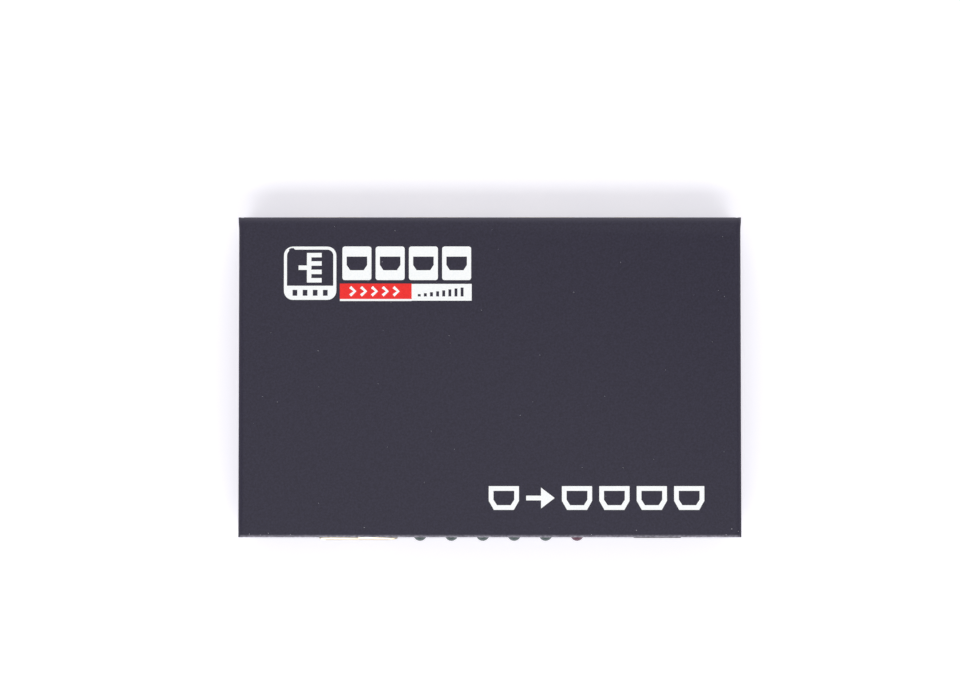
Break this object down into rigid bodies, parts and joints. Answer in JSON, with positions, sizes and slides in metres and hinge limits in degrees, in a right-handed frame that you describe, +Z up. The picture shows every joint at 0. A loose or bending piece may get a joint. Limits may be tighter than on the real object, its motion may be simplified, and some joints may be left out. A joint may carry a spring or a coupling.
{
  "type": "hdmi splitter",
  "caption": "Flat sheet-metal video splitter box with an input socket, a row of status lights and a power jack at the front and output sockets at the rear.",
  "frame": {"origin": "centre of the case at the level of the surface that its feet stand on", "axes": "+X to the right of someone who faces the front panel, +Y to the rear with the output sockets, +Z up"},
  "size_m": [0.107, 0.0698, 0.022],
  "materials": {
    "powder_coated_steel": "matt powder coat",
    "gold_plate": "bright gold plate",
    "socket_moulding": "satin moulding",
    "jack_moulding": "satin moulding",
    "plated_steel": "bright plated",
    "board_laminate": "gloss solder mask",
    "rubber": "matt",
    "green_lens": "tinted clear lens",
    "red_lens": "tinted clear lens",
    "chip_moulding": "fine matt moulding",
    "coil_ferrite": "matt",
    "capacitor_can": "satin",
    "ceramic": "fired ceramic"
  },
  "bodies": {
    "root": {"top_cover": "powder_coated_steel", "base_tray": "powder_coated_steel", "input_socket_shell": "gold_plate", "input_socket_contacts": "gold_plate", "output_socket_shell_1": "gold_plate", "output_socket_shell_2": "gold_plate", "output_socket_shell_3": "gold_plate", "output_socket_shell_4": "gold_plate", "output_socket_contacts_1": "gold_plate", "output_socket_contacts_2": "gold_plate", "output_socket_contacts_3": "gold_plate", "output_socket_contacts_4": "gold_plate", "input_socket_insulator": "socket_moulding", "output_socket_insulator_1": "socket_moulding", "output_socket_insulator_2": "socket_moulding", "output_socket_insulator_3": "socket_moulding", "output_socket_insulator_4": "socket_moulding", "power_jack_body": "jack_moulding", "board_standoffs": "plated_steel", "case_screws": "plated_steel", "board_screws": "plated_steel", "power_jack_pin": "plated_steel", "power_jack_spring": "plated_steel", "light_leads": "plated_steel", "splitter_chip_leads": "plated_steel", "clock_crystal": "plated_steel", "circuit_board": "board_laminate", "rubber_feet": "rubber", "status_light_1": "green_lens", "status_light_2": "green_lens", "status_light_3": "green_lens", "status_light_4": "green_lens", "status_light_5": "green_lens", "power_light": "red_lens", "splitter_chip": "chip_moulding", "memory_chip": "chip_moulding", "voltage_regulators": "chip_moulding", "resistors": "chip_moulding", "surge_arrays": "chip_moulding", "power_coil": "coil_ferrite", "bulk_capacitors": "capacitor_can", "ceramic_capacitors": "ceramic"}
  },
  "joints": []
}
